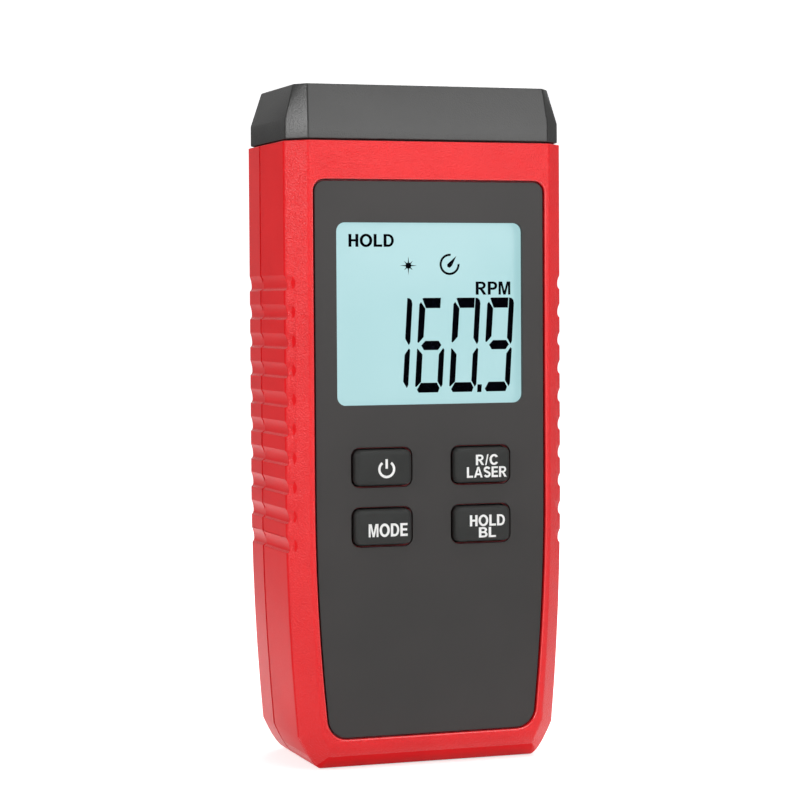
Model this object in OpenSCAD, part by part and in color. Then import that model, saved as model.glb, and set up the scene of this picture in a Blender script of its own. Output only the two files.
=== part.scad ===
// Hand-held laser tachometer, standing on its base.
// X runs across the front, Z runs up the length, and the front faces -Y.
// A depth is measured from the front face of the shell towards the back.

/* [Housing] */
// Width across the side walls
body_w = 60; // [57:0.5:64]
// Depth from the front face to the back face
body_d = 33; // [32:0.5:36]
// Height of the two shells, from the base to the cap seam
shell_h = 127.6; // [126:0.1:131]
// Thickness of the side walls
wall = 2.2; // [1.8:0.1:2.6]
// Bevel round the front face
front_bevel = 4; // [3:0.1:4.6]
// Bevel round the back face
back_bevel = 2.5; // [1.5:0.1:3]
// Radius that softens the front bevel's edge on the sides
front_soft = 1.6; // [0.4:0.1:2.4]
// Radius that softens the front bevel's edge on the front face
face_soft = 1; // [0.4:0.1:1.6]
// Height of the round under the front face
foot_round = 6; // [4.4:0.1:6.2]
// Depth of that round
foot_depth = 5.6; // [4.6:0.1:7]
// Radius that softens both edges of the back bevel
back_soft = 1; // [0.4:0.1:1.6]
// Depth of the seam between the front and back shells
part_depth = 21.2; // [20.6:0.1:22]
// Height below which the sides curve in
taper_z = 55.5; // [40:0.5:62]
// Radius of that curve
taper_r = 540; // [450:10:900]
// How much narrower the flat base is on each side
base_in = 7.4; // [6.5:0.1:9]
// Height at which the bottom corners start
corner_h = 6.9; // [6:0.1:8]
// Height of the tongue where the shells meet
lip_h = 1.2; // [0.8:0.1:1.6]
// Width of the shadow line along the seam
seam_gap = 0.8; // [0.2:0.05:0.9]
// Depth of the shadow line
seam_in = 0.6; // [0.3:0.05:0.8]

/* [Grip] */
// Finger grooves on each side
groove_n = 10; // [6:1:10]
// Distance from groove to groove
groove_pitch = 5.9; // [5:0.1:6.2]
// Height of the lowest groove
groove_z = 46; // [42:0.1:50]
// Width of a groove
groove_w = 3.1; // [2:0.1:3.4]
// Depth of a groove
groove_d = 0.65; // [0.3:0.05:0.7]
// Part of a groove's width that lies below its deepest line
groove_lip = 0.26; // [0.25:0.01:0.5]
// Middle of the hollow that ends a groove on the front bevel
hollow_at = 0.9; // [0.6:0.1:1.4]
// Radius of that hollow
hollow_r = 3.2; // [2.6:0.1:4]
// Depth of that hollow
hollow_d = 0.45; // [0.3:0.05:0.6]

/* [Cap] */
// Height of the upright band of the cap
cap_band = 4; // [3:0.1:6]
// Height of the sloped part of the cap
cap_slope = 7.2; // [6:0.1:9]
// How far the cap's sides lean in
cap_lean = 2; // [1.5:0.1:3.5]
// How far the cap's front and back lean in
cap_lean_front = 1.8; // [1.2:0.1:2.8]
// Wall of the cap
cap_wall = 2; // [1.6:0.1:2.4]
// How far the cap is set in from the shells
cap_inset = 0.45; // [0.1:0.05:0.6]
// Width of the shadow line under the cap
cap_gap = 0.35; // [0.2:0.05:0.6]
// Depth of the shadow line
cap_neck = 0.7; // [0.4:0.1:1]
// Length of the skirt that plugs into the shells
skirt_h = 4.4; // [3.6:0.1:4.6]
// Thickness of the skirt
skirt_t = 1.5; // [1.2:0.1:1.8]
// Height of the snap bead on the skirt
bead_h = 0.9; // [0.6:0.1:1.2]

/* [Front panel] */
// Rim of the shell on each side of the panel
panel_rim = 5.4; // [4.8:0.05:5.5]
// How much more the panel's sides curve in than the housing's
panel_lean = 1.2; // [1:0.05:1.3]
// Height of the panel's lower edge
panel_z = 6.8; // [5.8:0.1:8]
// Rim of the shell above the panel
panel_top_rim = 8.1; // [5:0.1:10]
// Thickness of the panel
panel_t = 0.8; // [0.6:0.1:1.2]
// Gap round the panel
panel_gap = 0.4; // [0.15:0.05:0.45]
// How far the panel lies below the shell's rim
panel_sink = 0.4; // [0.2:0.05:0.6]
// Radius of the panel's upper corners
panel_r_top = 2; // [1:0.1:3]
// Radius of the panel's lower corners
panel_r_low = 4; // [2:0.1:5]

/* [Display] */
// Band of the panel on each side of the view
view_band = 4.55; // [4.5:0.05:6.5]
// Height of the view through the panel
view_h = 37; // [34:0.5:38]
// Distance from the view up to the cap seam
view_drop = 16.4; // [15.4:0.1:17.3]
// Corner radius of the view
view_r = 1.8; // [1:0.1:3]
// Thickness of the clear window
window_t = 1; // [0.8:0.1:1.4]
// How far the window reaches behind the panel
window_lap = 2; // [1.2:0.1:2.2]
// Shelf of the shell behind the window
ledge_t = 0.6; // [0.5:0.1:1]
// Thickness of the liquid crystal glass
lcd_t = 2.2; // [1.6:0.1:2.6]
// Thickness of the light guide behind the glass
light_t = 2.8; // [2.4:0.1:3.4]
// Wall of the frame that holds the display
frame_wall = 1; // [0.8:0.1:1.1]

/* [Keys] */
// Width of a key
key_w = 12.1; // [11:0.1:12.6]
// Height of a key
key_h = 7.2; // [6.4:0.1:7.6]
// Corner radius of a key
key_r = 1.3; // [1:0.1:2]
// Round on the edge of a key's face
key_edge = 0.9; // [0.5:0.1:0.95]
// How far a key stands above the panel
key_proud = 1.4; // [1.1:0.1:1.8]
// Travel of a key
key_travel = 0.8; // [0.5:0.1:1]
// Band of the panel outside the keys
key_band = 7.85; // [7.7:0.05:8.9]
// Distance between the two rows of keys
key_pitch_z = 12.1; // [11.4:0.1:12.6]
// Distance from the view down to midway between the two rows
key_drop = 18.7; // [18:0.1:21.2]
// Gap round a key
key_gap = 0.3; // [0.2:0.05:0.4]
// Ledge of the shell that shows round a key
key_rim = 0.2; // [0.1:0.05:0.3]
// Width of the flange that keeps a key in
key_flange = 1; // [0.8:0.1:1.2]
// Thickness of that flange
flange_t = 1; // [0.8:0.1:1.2]
// Diameter of the carbon pill under a key
pill_d = 4; // [3:0.1:4.4]
// Thickness of the pill
pill_t = 0.5; // [0.4:0.1:0.7]
// Thickness of the rubber mat under the keys
mat_t = 1; // [0.8:0.1:1.4]

/* [Circuit board] */
// Thickness of the circuit board
board_t = 1.6; // [1.2:0.1:2]
// Gap between the circuit board and the side walls
board_gap = 3.3; // [2.8:0.1:3.8]
// Height of the board's lower edge
board_z = 16; // [15:0.5:18]
// Distance from the board up to the cap seam
board_drop = 12.3; // [11.3:0.1:13.1]
// Diameter of the posts under the board
post_d = 4.6; // [4:0.1:4.8]
// Height of the lower pair of posts
post_low_z = 24; // [22:0.5:36]
// Distance from the view down to the upper pair of posts
post_drop = 14.2; // [12.2:0.1:22.2]
// Diameter of the small screws
small_screw_d = 1.9; // [1.6:0.1:2.2]
// Width of the controller chip
chip_w = 12; // [10:0.5:14]
// Thickness of the controller chip
chip_t = 1.8; // [1.2:0.1:2.4]
// Length of the crystal can
can_l = 10.5; // [8:0.5:11]
// Width of the crystal can
can_w = 4.6; // [3.6:0.1:5]
// Thickness of the crystal can
can_t = 3; // [2.4:0.1:3.6]

/* [Optics] */
// Distance of each light path from the middle
optic_x = 8.6; // [8.2:0.1:9.4]
// Diameter of the laser barrel
laser_d = 8; // [7:0.1:8.4]
// Wall of the laser barrel
barrel_wall = 1.8; // [1.4:0.1:2]
// Opening in the cap for the beam
laser_port = 5; // [4:0.1:6]
// Diameter of the receiving lens
lens_d = 12; // [10.5:0.1:12.4]
// Rim by which the cap keeps the lens in
lens_lip = 0.7; // [0.5:0.1:1]
// Thickness of the lens at its edge
lens_edge = 2; // [1.4:0.1:2.6]
// Rise of the lens above its edge
lens_rise = 1.4; // [0.8:0.1:1.6]
// Distance from the foot of the optics holder up to the cap seam
holder_drop = 27.3; // [25.3:0.5:29.3]
// Height of the holder's plate on the circuit board
plate_h = 14; // [11:0.5:15]
// Wall of the tubes in the holder
tube_wall = 1.5; // [1.2:0.1:1.8]
// Thickness of the sensor board
sensor_t = 1.2; // [1:0.1:1.6]

/* [Cells] */
// Diameter of a cell
cell_d = 10.5; // [10.2:0.1:10.7]
// Length of a cell without its nub
cell_l = 43.3; // [42:0.1:44]
// Diameter of the nub
nub_d = 3.8; // [3:0.1:4.4]
// Height of the nub
nub_h = 1.2; // [0.8:0.1:1.4]
// Gap between cells
cell_gap = 0.35; // [0.3:0.05:0.6]
// Wall of the battery bay
bay_wall = 1.4; // [1.2:0.1:1.8]
// Thickness of a contact plate
contact_t = 0.5; // [0.4:0.05:0.6]
// Rise of the stud on a contact plate
stud_h = 0.8; // [0.5:0.1:1]
// Length of a contact spring in place
spring_h = 4.8; // [4:0.1:5.4]
// Wire of a contact spring
spring_wire = 0.7; // [0.5:0.05:0.8]
// Turns of a contact spring
spring_turns = 3.5; // [2.5:0.5:4]

/* [Battery door] */
// Height of the door's lower edge
door_z = 15.5; // [15:0.5:18]
// Thickness of the door
door_t = 2; // [1.8:0.1:2.4]
// How far the door laps the bay all round
door_lap = 2.4; // [2:0.1:2.6]
// Gap round the door
door_gap = 0.25; // [0.2:0.05:0.35]
// Width of a hinge tab
tab_w = 6; // [4:0.5:7]
// Distance of a hinge tab from the middle
tab_x = 9; // [8:0.5:10]
// Reach of a hinge tab under the shell
tab_reach = 1.8; // [1.2:0.1:2]
// Thickness of a hinge tab
tab_t = 1.2; // [1:0.1:1.4]
// Width of the latch tongue
latch_w = 11; // [9:0.5:13]
// Length of the latch tongue
latch_l = 9; // [7:0.5:11]
// Radius of the finger hollow above the door
scoop_r = 12; // [9:0.5:14]
// Depth of the finger hollow
scoop_d = 1.2; // [0.8:0.1:1.4]

/* [Screws] */
// Diameter of the case screws
screw_d = 2.6; // [2.2:0.1:2.8]
// Diameter of their heads
screw_head = 4.8; // [4.4:0.1:5]
// Height of their heads
screw_head_h = 1.8; // [1.4:0.1:2.2]
// Length of their threads in the front shell
screw_bite = 9; // [7:0.5:11]
// Depth of the head below the back face
screw_sink = 6; // [4:0.5:8]
// Diameter of the screw posts
boss_d = 6; // [5.4:0.1:6.2]
// Distance of the upper screws from the sides
screw_top_in = 7.5; // [7:0.1:8]
// Distance from the upper screws up to the cap seam
screw_drop = 8; // [7.8:0.1:8.9]
// Distance of the lower screws from the sides
screw_low_in = 8.7; // [8.5:0.1:9.5]
// Height of the lower screws
screw_low_z = 10.2; // [10:0.1:11]

/* [Fits] */
// Clearance of parts that seat in each other
fit = 0.15; // [0.08:0.01:0.2]
// Clearance of parts that move
run = 0.1; // [0.05:0.01:0.15]

/* [Hidden] */
$fn = 64;
sliver = 0.01;
over = 1;

key_face = key_proud - panel_sink;
front_y = -(body_d - key_face) / 2;

// Widths and heights that follow the housing
base_w = body_w - 2 * base_in;
panel_w = body_w - 2 * panel_rim;
panel_h = shell_h - panel_top_rim - panel_z;
view_w = panel_w - 2 * view_band;
view_z = shell_h - view_drop - view_h / 2;
view_low = view_z - view_h / 2;
key_pitch_x = panel_w - 2 * key_band - key_w;
key_z = view_low - key_drop;
board_w = body_w - 2 * (wall + board_gap);
board_h = shell_h - board_drop - board_z;
post_top_z = view_low - post_drop;
holder_z = shell_h - holder_drop;
screw_top_x = body_w / 2 - screw_top_in;
screw_top_z = shell_h - screw_drop;
screw_low_x = body_w / 2 - screw_low_in;

// Depths of the stack behind the front face
panel_back = panel_sink + panel_t;
window_back = panel_back + window_t;
face_t = window_back + ledge_t;
lcd_back = face_t + lcd_t;
board_front = lcd_back + light_t;
board_back = board_front + board_t;
optic_t = body_d / 2;

// Display
window_w = view_w + 2 * window_lap;
window_h = view_h + 2 * window_lap;
lcd_w = window_w + 0.5;
lcd_h = window_h + 0.2;
frame_w = lcd_w + 2 * (fit + frame_wall);
frame_h = lcd_h + 2 * (fit + frame_wall);
strip_h = 2;
guide_h = lcd_h - 2 * strip_h - 2 * fit;

// Keys
hole_w = key_w + 2 * key_gap;
hole_h = key_h + 2 * key_gap;
hole_r = key_r + key_gap;
flange_front = face_t + run;
flange_back = flange_front + flange_t;
pill_back = board_front - key_travel - run;
stem_back = pill_back - pill_t;
stem_w = pill_d + 2.6;
stem_h = pill_d + 0.8;
mat_w = key_pitch_x + hole_w + 2 * key_flange + 1.2;
mat_h = key_pitch_z + hole_h + 2 * key_flange + 1.2;
mat_hole = 0.5;

// Cap
cap_z = shell_h + cap_gap;
slope_z = cap_z + cap_band;
top_z = slope_z + cap_slope;
cap_roof = top_z - cap_wall;
// How much a 45 degree bevel shortens as its outline moves in
bevel_keep = 2 - sqrt(2);
bead_z = cap_z - skirt_h / 2;
bead_out = 0.45;

// Optics
tube_d = laser_d + 2 * tube_wall;
lens_bore = lens_d - 2 * tube_wall;
lens_low = cap_roof - lens_edge;
lens_port = lens_d - 2 * lens_lip;
laser_top = cap_roof - run;
sleeve_h = 4;
laser_bore = laser_d - 2 * barrel_wall;
glass_h = 1.2;
diode_d = laser_bore - 2 * run;
bulb_d = 5;
bulb_rim = 0.4;
bulb_foot = 1;

// Battery bay, measured from the back
pitch = cell_d + cell_gap;
bay_w = 2 * pitch + cell_d + 2 * cell_gap;
bay_low = door_z + door_lap;
bay_slack = 0.3;
bay_h = cell_l + nub_h + spring_h + 2 * contact_t + stud_h + bay_slack;
bay_top = bay_low + bay_h;
door_inner = body_d - door_t;
cell_t = door_inner - 0.5 - cell_d / 2;
bay_floor = cell_t - cell_d / 2 - fit;
contact_w = cell_d - 1.4;
tail_w = 3;

// Door
door_w = bay_w + 2 * door_lap;
door_top = bay_top + door_lap;
nose_r = door_t / 2;
hinge_t = body_d - nose_r;
hinge_z = door_z + nose_r;
tab_front = door_inner - tab_t;
tab_swing = norm([hinge_t - tab_front, nose_r + tab_reach]);
seat_wall = 1.6;
seat_t = tab_t + 2.6;
latch_slot = 0.8;
hook_h = 1.7;
hook_t = 1.4;

// Screws
small_head = small_screw_d * 2.1;
small_head_h = 1.3;
small_bite = 3.2;
post_x = board_w / 2 - 2.8;
chip_r = 0.5;
dot_d = 1;
dot_t = 0.2;
case_screws_at = [
    [screw_top_x, screw_top_z], [-screw_top_x, screw_top_z],
    [screw_low_x, screw_low_z], [-screw_low_x, screw_low_z]
];
board_screws_at = [
    [post_x, post_top_z], [-post_x, post_top_z],
    [post_x, post_low_z], [-post_x, post_low_z]
];
keys_at = [
    for (z = [key_z + key_pitch_z / 2, key_z - key_pitch_z / 2])
        for (x = [-key_pitch_x / 2, key_pitch_x / 2]) [x, z]
];

red = [0.9, 0.13, 0.15];
charcoal = [0.29, 0.29, 0.28];
rubber = [0.2, 0.21, 0.21];
black = [0.08, 0.08, 0.08];
steel = [0.75, 0.75, 0.77];
brass = [0.8, 0.66, 0.35];
green = [0.1, 0.4, 0.2];

// Points and outlines

function half_w(z) = body_w / 2 - pow(max(0, taper_z - z), 2) / (2 * taper_r);

function arc(cx, cz, r, from, to, n) =
    [for (k = [0 : n]) let (a = from + (to - from) * k / n) [cx + r * cos(a), cz + r * sin(a)]];

function bend(p, c, q, n) =
    [for (k = [1 : n]) let (s = k / n) pow(1 - s, 2) * p + 2 * s * (1 - s) * c + s * s * q];

function both_sides(pts) =
    concat(pts, [for (k = [len(pts) - 1 : -1 : 0]) [-pts[k][0], pts[k][1]]]);

function inward(a, b) = let (d = b - a) [d[1], -d[0]] / norm(d);

// An outline moved in by a distance, corner by corner
function inset(pts, by) = let (n = len(pts)) [
    for (k = [0 : n - 1])
        let (a = inward(pts[(k + n - 1) % n], pts[k]), b = inward(pts[k], pts[(k + 1) % n]))
            pts[k] + by * (a + b) / (1 + a * b)
];

// Outline of the housing seen from the front, curved or with plain corners
function housing(top, steps) =
    let (corner = [half_w(corner_h), corner_h], foot = [base_w / 2, 0],
         knee = [foot[0] + 0.4 * (corner[0] - foot[0]), 0])
    both_sides(concat(
        [[body_w / 2, top]],
        [for (k = [0 : steps]) let (z = taper_z - (taper_z - corner_h) * k / steps) [half_w(z), z]],
        steps > 1 ? bend(corner, knee, foot, 6) : [foot]
    ));

function panel_outline(grow) =
    let (half = panel_w / 2 + grow, low = panel_z - grow, high = panel_z + panel_h + grow,
         r_low = panel_r_low + grow, r_top = panel_r_top + grow,
         side = function(z) half - panel_lean * (body_w / 2 - half_w(z)), bend_z = low + r_low, lean = 5)
    both_sides(concat(
        arc(half - r_top, high - r_top, r_top, 90, 0, 6),
        [for (k = [0 : 6]) let (z = taper_z - (taper_z - bend_z) * k / 6) [side(z), z]],
        arc(side(bend_z) - r_low, bend_z, r_low, -lean, -90, 8)
    ));

module outline(by, top, steps = 6) {
    polygon(inset(housing(top + by, steps), by));
}

module rounded(w, h, r) {
    polygon(concat(
        arc(w / 2 - r, h / 2 - r, r, 0, 90, 6), arc(r - w / 2, h / 2 - r, r, 90, 180, 6),
        arc(r - w / 2, r - h / 2, r, 180, 270, 6), arc(w / 2 - r, r - h / 2, r, 270, 360, 6)
    ));
}

// A front outline drawn out between two depths
module slab(from, to) {
    translate([0, front_y + to, 0])
        rotate([90, 0, 0])
            linear_extrude(to - from)
                children();
}

// A bar between two depths, given by its middle and size seen from the front
module bar(x, z, w, h, from, to) {
    translate([x - w / 2, front_y + from, z - h / 2])
        cube([w, to - from, h]);
}

// A round pin along the depth
module pin(x, z, d, from, to) {
    translate([x, front_y + from, z])
        rotate([-90, 0, 0])
            cylinder(d = d, h = to - from);
}

// A round pin up the length
module stub(x, t, d, low, high) {
    translate([x, front_y + t, low])
        cylinder(d = d, h = high - low);
}

// Housing

// Half of a groove's section, from its deepest line out to the side wall
function groove_side(reach) =
    let (r = (reach * reach + groove_d * groove_d) / (2 * groove_d), end = asin(reach / r))
    [for (k = [0 : 5]) [r - groove_d - r * cos(end * k / 5), r * sin(end * k / 5)]];

module groove_section() {
    upper = groove_side(groove_w * (1 - groove_lip));
    lower = groove_side(groove_w * groove_lip);
    polygon(concat(
        [for (k = [5 : -1 : 0]) upper[k]], [for (k = [1 : 5]) [lower[k][0], -lower[k][1]]],
        [[over, -groove_w * groove_lip], [over, groove_w * (1 - groove_lip)]]
    ));
}

module grip_cuts(from) {
    lift = hollow_r - hollow_d;
    for (k = [0 : groove_n - 1], side = [0, 1]) {
        z = groove_z + k * groove_pitch;
        mirror([side, 0, 0])
            translate([half_w(z), 0, z]) {
                translate([0, 0, groove_w * (groove_lip - 0.5)])
                    slab(max(from, front_bevel - 2 * groove_d), body_d + over) groove_section();
                if (from < front_bevel)
                    translate([
                        (lift - hollow_at) / sqrt(2), front_y + front_bevel - (lift + hollow_at) / sqrt(2), 0
                    ])
                        sphere(hollow_r);
            }
    }
}

// Steps of a bevel with softened edges, each as its inset and its depth
function soft_bevel(size, face_r, side_r) = concat(
    [for (a = [0 : 15 : 45]) [size + face_r * tan(22.5) - face_r * sin(a), face_r - face_r * cos(a)]],
    [for (k = [0.25, 0.4, 0.6]) [size * (1 - k), size * k]],
    [for (a = [45 : -15 : 15]) [side_r - side_r * cos(a), size + side_r * tan(22.5) - side_r * sin(a)]]
);

// Height of the round under the front face at a depth
function foot_rise(t) =
    t < foot_depth ? foot_round * (1 - sqrt(1 - pow(1 - t / foot_depth, 2))) : 0;

module front_slice(by, t) {
    slab(t, t + sliver)
        difference() {
            outline(by, shell_h);
            translate([-body_w / 2, -over])
                square([body_w, foot_rise(t) + over]);
        }
}

module front_form() {
    side_start = front_bevel + front_soft * tan(22.5);
    hull() {
        for (p = soft_bevel(front_bevel, face_soft, front_soft))
            front_slice(p[0], p[1]);
        front_slice(0, side_start);
        front_slice(0, foot_depth);
        slab(part_depth - over, part_depth) outline(0, shell_h);
    }
}

module front_cavity() {
    hull() {
        slab(face_t, face_t + sliver) outline(wall + front_bevel, shell_h + over, 1);
        slab(face_t + front_bevel, part_depth + over) outline(wall, shell_h + over);
    }
}

module back_form() {
    hull() {
        slab(part_depth, body_d - back_bevel - back_soft * tan(22.5)) outline(0, shell_h);
        for (p = soft_bevel(back_bevel, back_soft, back_soft))
            slab(body_d - p[1] - sliver, body_d - p[1]) outline(p[0], shell_h);
    }
}

module back_cavity() {
    hull() {
        slab(part_depth - over, body_d - wall - back_bevel) outline(wall, shell_h + over);
        slab(body_d - wall - sliver, body_d - wall)
            outline(wall + back_bevel, shell_h + over, 1);
    }
}

module shell_tongue(grow, from, to) {
    slab(from, to)
        difference() {
            outline(wall / 2 + fit - grow, shell_h);
            outline(wall, shell_h + over);
        }
}

module front_shell() {
    color(red)
        difference() {
            union() {
                difference() {
                    front_form();
                    front_cavity();
                }
                shell_tongue(0, part_depth - over, part_depth + lip_h);
                for (p = case_screws_at)
                    pin(p[0], p[1], boss_d, face_t - sliver, part_depth);
                for (p = board_screws_at)
                    pin(p[0], p[1], post_d, face_t - sliver, board_front);
            }
            slab(-over, panel_back) polygon(panel_outline(panel_gap));
            translate([0, 0, view_z]) {
                slab(panel_back - sliver, window_back)
                    rounded(window_w + 2 * fit, window_h + 2 * fit, view_r);
                slab(window_back - sliver, face_t + sliver)
                    rounded(view_w + window_lap, view_h + window_lap, view_r);
            }
            for (p = keys_at)
                translate([p[0], 0, p[1]])
                    slab(panel_back - sliver, face_t + sliver) rounded(hole_w, hole_h, hole_r);
            for (p = case_screws_at)
                pin(p[0], p[1], screw_d + 2 * run, part_depth - screw_bite - over, part_depth + over);
            for (p = board_screws_at)
                pin(p[0], p[1], small_screw_d + 2 * run, board_front - small_bite - over,
                    board_front + over);
            for (side = [-1, 1])
                bar(side * (body_w / 2 - wall), bead_z, 2 * bead_out + 2 * fit, bead_h + 2 * fit,
                    face_t + front_bevel + over - fit, part_depth - 2 * over + fit);
            grip_cuts(0);
        }
}

module bay_tray() {
    bar(0, bay_low + bay_h / 2, bay_w + 2 * bay_wall, bay_h + 2 * bay_wall,
        bay_floor - bay_wall, body_d - wall);
    bar(0, (door_z + door_top) / 2 - tab_reach / 2,
        door_w + 2 * (door_gap + seat_wall), door_top - door_z + 2 * (door_gap + seat_wall) + tab_reach,
        door_inner - seat_t, body_d - wall / 2);
}

module bay_cuts() {
    bar(0, bay_low + bay_h / 2, bay_w, bay_h, bay_floor, body_d + over);
    bar(0, (door_z + door_top) / 2, door_w + 2 * door_gap, door_top - door_z + 2 * door_gap,
        door_inner, body_d + over);
    for (side = [-1, 1])
        bar(side * tab_x, (door_z - tab_reach - door_gap + bay_low) / 2, tab_w + 2 * door_gap,
            bay_low - door_z + tab_reach + door_gap + 2 * sliver,
            hinge_t - tab_swing - door_gap, door_inner + sliver);
    bar(0, bay_top + door_lap / 2, latch_w + 2 * latch_slot, door_lap + 2 * door_gap,
        door_inner - hook_t - door_gap, door_inner + sliver);
    translate([0, front_y + body_d + scoop_r - scoop_d, door_top + door_gap])
        sphere(scoop_r);
    for (p = contact_tails)
        bar(p[0], p[1], tail_w + 2 * fit, contact_t + 2 * fit, bay_floor - bay_wall - over,
            bay_floor + over);
}

module back_shell() {
    color(red)
        difference() {
            union() {
                difference() {
                    back_form();
                    back_cavity();
                    shell_tongue(fit, part_depth - over, part_depth + lip_h + fit);
                    slab(part_depth - over, part_depth + seam_gap)
                        difference() {
                            outline(-over, shell_h + over);
                            outline(seam_in, shell_h + 2 * over);
                        }
                }
                bay_tray();
                for (p = case_screws_at)
                    pin(p[0], p[1], boss_d, part_depth + run, body_d - wall / 2);
            }
            bay_cuts();
            for (p = case_screws_at) {
                pin(p[0], p[1], screw_d + 2 * fit, part_depth - over, body_d + over);
                pin(p[0], p[1], screw_head + 2 * fit, body_d - screw_sink - screw_head_h,
                    body_d + over);
            }
            grip_cuts(part_depth);
        }
}

// Plan of an eight-sided box: half width, front and back depths, and its front and back bevels
function box_plan(half, front, back, front_x, front_t, back_x, back_t) =
    both_sides([
        [half - front_x, front_y + front], [half, front_y + front + front_t],
        [half, front_y + back - back_t], [half - back_x, front_y + back]
    ]);

// The shells' plan moved in at the sides, front and back, with its bevels kept parallel
function shell_plan(side, front, back, by) =
    let (front_leg = front_bevel - by * bevel_keep, back_leg = back_bevel - by * bevel_keep)
    box_plan(body_w / 2 - side - by, front + by, body_d - back - by,
        front_leg, front_leg, back_leg, back_leg);

module cap_band_plan(by) {
    polygon(shell_plan(0, 0, 0, by));
}

module cap_top_plan(by) {
    polygon(box_plan(body_w / 2 - cap_lean - by, cap_lean_front + by, body_d - cap_lean_front - by,
        0.6 * front_bevel - by * bevel_keep, 0.75 * front_bevel - by * bevel_keep,
        back_bevel / 2 - by * bevel_keep, back_bevel - by * bevel_keep));
}

// The hollow of the closed shells, which the cap's skirt plugs
module hollow_plan(by) {
    polygon(shell_plan(wall, face_t, wall, by));
}

module cap_form(by, low, high) {
    hull() {
        translate([0, 0, low]) linear_extrude(slope_z - low) cap_band_plan(by);
        translate([0, 0, high - sliver]) linear_extrude(sliver) cap_top_plan(by);
    }
}

module top_cap() {
    color(charcoal)
        difference() {
            union() {
                difference() {
                    cap_form(cap_inset, cap_z, top_z);
                    cap_form(cap_inset + cap_wall, cap_z - over, cap_roof);
                }
                translate([0, 0, cap_z])
                    linear_extrude(skirt_t)
                        difference() {
                            cap_band_plan(cap_inset + cap_wall / 2);
                            hollow_plan(fit + skirt_t);
                        }
                translate([0, 0, shell_h])
                    linear_extrude(cap_gap + sliver)
                        difference() {
                            cap_band_plan(cap_inset + cap_neck);
                            hollow_plan(fit + skirt_t);
                        }
                translate([0, 0, cap_z - skirt_h])
                    linear_extrude(skirt_h + sliver)
                        difference() {
                            hollow_plan(fit);
                            hollow_plan(fit + skirt_t);
                        }
                for (side = [-1, 1])
                    bar(side * (body_w / 2 - wall - fit), bead_z, 2 * bead_out, bead_h,
                        face_t + front_bevel + over, part_depth - 2 * over);
                stub(-optic_x, optic_t, tube_d + 2 * fit, cap_roof - sleeve_h, cap_roof + sliver);
                stub(optic_x, optic_t, lens_d + 2 * (fit + tube_wall), cap_roof - sleeve_h,
                    cap_roof + sliver);
            }
            stub(-optic_x, optic_t, laser_port, cap_roof - over, top_z + over);
            stub(-optic_x, optic_t, laser_d + 2 * fit, cap_roof - sleeve_h - over, cap_roof);
            stub(optic_x, optic_t, lens_port, cap_roof - over, top_z + over);
            stub(optic_x, optic_t, lens_d + 2 * fit, cap_roof - sleeve_h - over, cap_roof);
        }
}

module front_panel() {
    color(charcoal)
        difference() {
            slab(panel_sink, panel_back) polygon(panel_outline(0));
            translate([0, 0, view_z])
                slab(panel_sink - over, panel_back + over) rounded(view_w, view_h, view_r);
            for (p = keys_at)
                translate([p[0], 0, p[1]])
                    slab(panel_sink - over, panel_back + over)
                        rounded(hole_w + 2 * key_rim, hole_h + 2 * key_rim, hole_r + key_rim);
        }
}

// Display

module display_window() {
    color([0.75, 0.9, 0.92, 0.5])
        translate([0, 0, view_z])
            slab(panel_back, window_back) rounded(window_w, window_h, view_r);
}

module display_frame() {
    color(black)
        difference() {
            bar(0, view_z, frame_w, frame_h, face_t, board_front);
            bar(0, view_z, lcd_w + 2 * fit, lcd_h + 2 * fit, face_t - over, board_front + over);
        }
}

module lcd_glass() {
    color([0.7, 0.88, 0.9])
        bar(0, view_z, lcd_w, lcd_h, face_t, lcd_back);
}

module light_guide() {
    color([0.9, 0.95, 0.95])
        bar(0, view_z, lcd_w, guide_h, lcd_back, board_front);
}

module contact_strips() {
    color(rubber)
        for (side = [-1, 1])
            bar(0, view_z + side * (lcd_h - strip_h) / 2, lcd_w - strip_h, strip_h, lcd_back,
                board_front);
}

// Circuit board

module main_board() {
    color(green)
        difference() {
            translate([0, 0, board_z + board_h / 2])
                slab(board_front, board_back) rounded(board_w, board_h, strip_h);
            for (p = board_screws_at)
                pin(p[0], p[1], small_screw_d + 2 * fit, board_front - over, board_back + over);
            for (z = holder_pegs)
                pin(0, z, peg_d + 2 * run, board_front - over, board_back + over);
        }
}

module controller_chip() {
    color(black)
        translate([0, 0, key_z + 2 * strip_h])
            difference() {
                slab(board_back, board_back + chip_t) rounded(chip_w, chip_w, chip_r);
                pin(-chip_w / 2 + strip_h, chip_w / 2 - strip_h, dot_d, board_back + chip_t - dot_t,
                    board_back + chip_t + over);
            }
}

module crystal_can() {
    color(steel)
        translate([-post_x / 2, 0, bay_low + bay_h / 2])
            slab(board_back, board_back + can_t) rounded(can_w, can_l, can_w / 2 - run);
}

// Keys

module key_mat() {
    color(rubber)
        difference() {
            translate([0, 0, key_z])
                slab(board_front - mat_t, board_front) rounded(mat_w, mat_h, strip_h);
            for (p = keys_at)
                bar(p[0], p[1], stem_w + 2 * mat_hole, stem_h + 2 * mat_hole,
                    board_front - mat_t - over, board_front + over);
        }
}

// A rubber key: rounded face, flange behind the shell and stem down to the board
module key(p) {
    color(rubber)
        translate([p[0], 0, p[1]]) {
            hull()
                for (k = [0 : 4]) {
                    back = key_edge * (1 - sin(22.5 * k));
                    in = key_edge * (1 - cos(22.5 * k));
                    slab(-key_face + in, flange_back)
                        rounded(key_w - 2 * back, key_h - 2 * back, max(key_r - back, 0.35));
                }
            slab(flange_front, flange_back)
                rounded(hole_w + 2 * key_flange, hole_h + 2 * key_flange, hole_r + key_flange);
            bar(0, 0, stem_w, stem_h, flange_back - sliver, stem_back);
        }
}

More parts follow.
